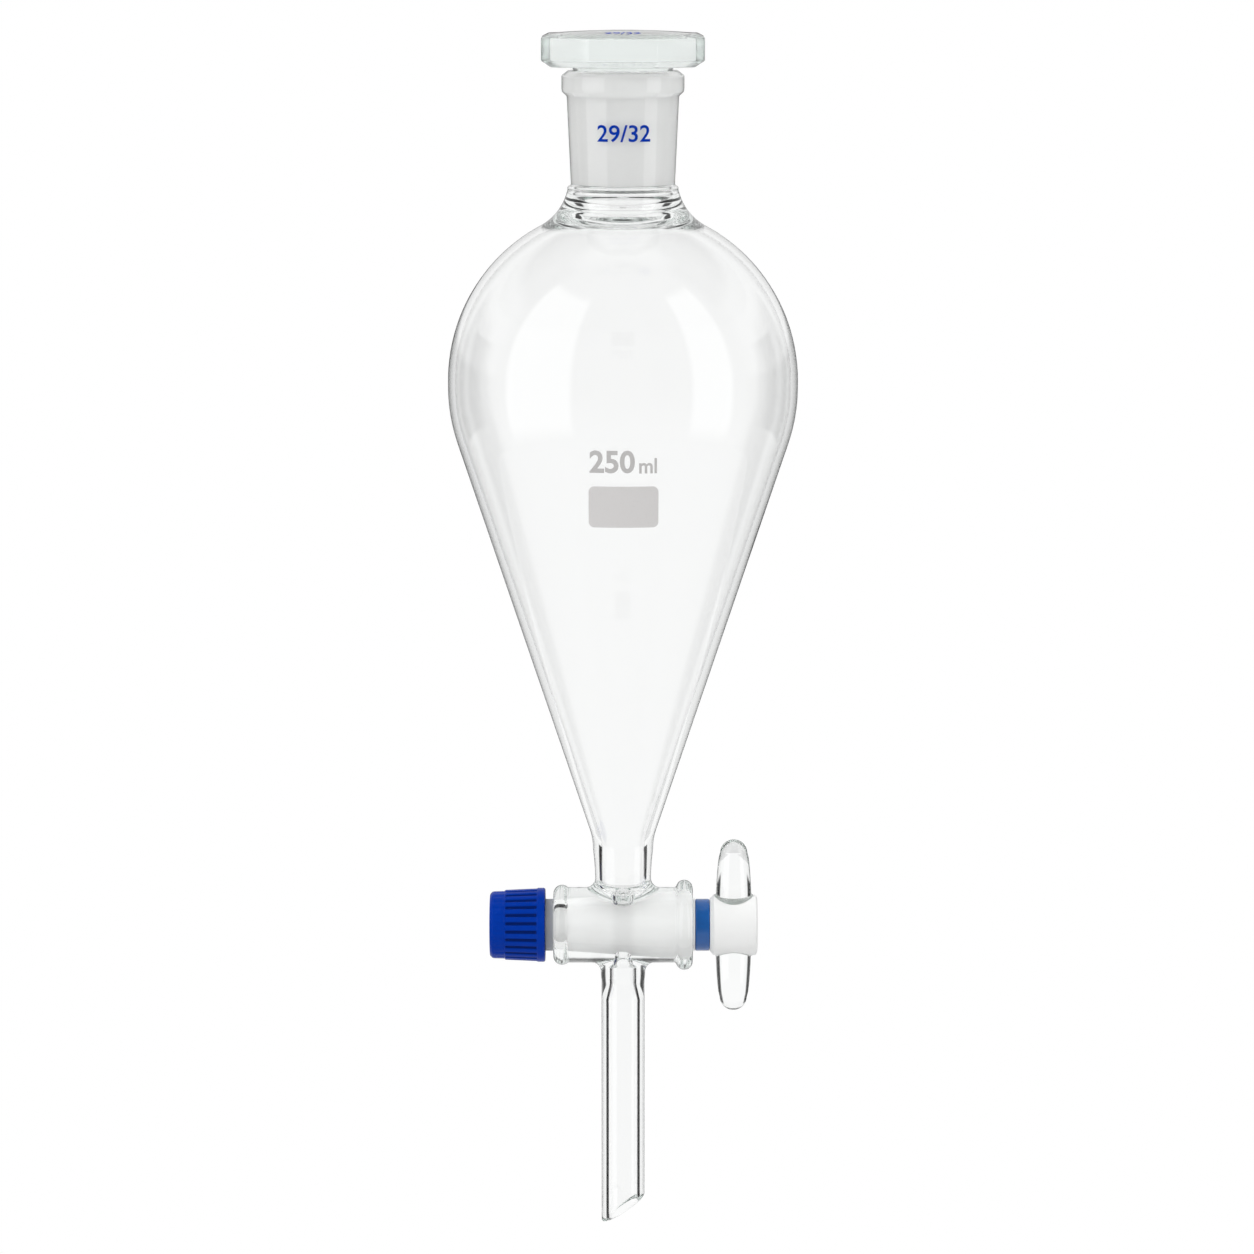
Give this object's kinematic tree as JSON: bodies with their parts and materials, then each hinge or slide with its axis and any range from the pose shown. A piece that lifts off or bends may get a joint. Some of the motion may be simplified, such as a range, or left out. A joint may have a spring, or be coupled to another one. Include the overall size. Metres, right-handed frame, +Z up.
{
  "type": "separatory funnel",
  "caption": "Pear-shaped glass separatory funnel with a ground socket, octagonal stopper, T-handled stopcock with blue retaining nut, and an oblique outlet tube.",
  "frame": {"origin": "on the funnel's axis, in the plane of the support ring that carries the bulb", "axes": "+Z up along the funnel's axis, +X along the stopcock from its retaining nut to its handle"},
  "size_m": [0.104, 0.104, 0.3617],
  "materials": {
    "clear_glass": "clear, fire-polished borosilicate glass with a ground socket and seat",
    "stopper_glass": "clear pressed glass with a ground plug",
    "key_glass": "ground glass with clear handle arms",
    "band_plastic": "glossy mid-blue",
    "washer_plastic": "translucent white fluoropolymer",
    "seal_rubber": "black rubber",
    "nut_plastic": "moulded deep-blue plastic, semi-gloss"
  },
  "bodies": {
    "glass": {"glass_body": "clear_glass"},
    "stopper": {"stopper": "stopper_glass"},
    "key": {"stopcock_key": "key_glass", "key_band": "band_plastic"},
    "washer": {"ptfe_washer": "washer_plastic", "o_ring": "seal_rubber"},
    "nut": {"retaining_nut": "nut_plastic"}
  },
  "joints": [
    {"name": "stopper_lift", "type": "slide", "parent": "glass", "child": "stopper", "axis": [0, 0, 1], "range_m": [0, 0.045]},
    {"name": "key_turn", "type": "hinge", "parent": "glass", "child": "key", "pos_m": [0, 0, -0.11918], "axis": [1, 0, 0], "continuous": true},
    {"name": "washer_slide", "type": "slide", "parent": "key", "child": "washer", "axis": [-1, 0, 0], "range_m": [0, 0.018]},
    {"name": "nut_turn", "type": "hinge", "parent": "washer", "child": "nut", "pos_m": [-0.032, 0, -0.11918], "axis": [-1, 0, 0], "range_deg": [0, 3060]}
  ],
  "couplings": [
    {"joint": "washer_slide", "follows": "nut_turn", "m_per_rad": 0.00031831}
  ]
}
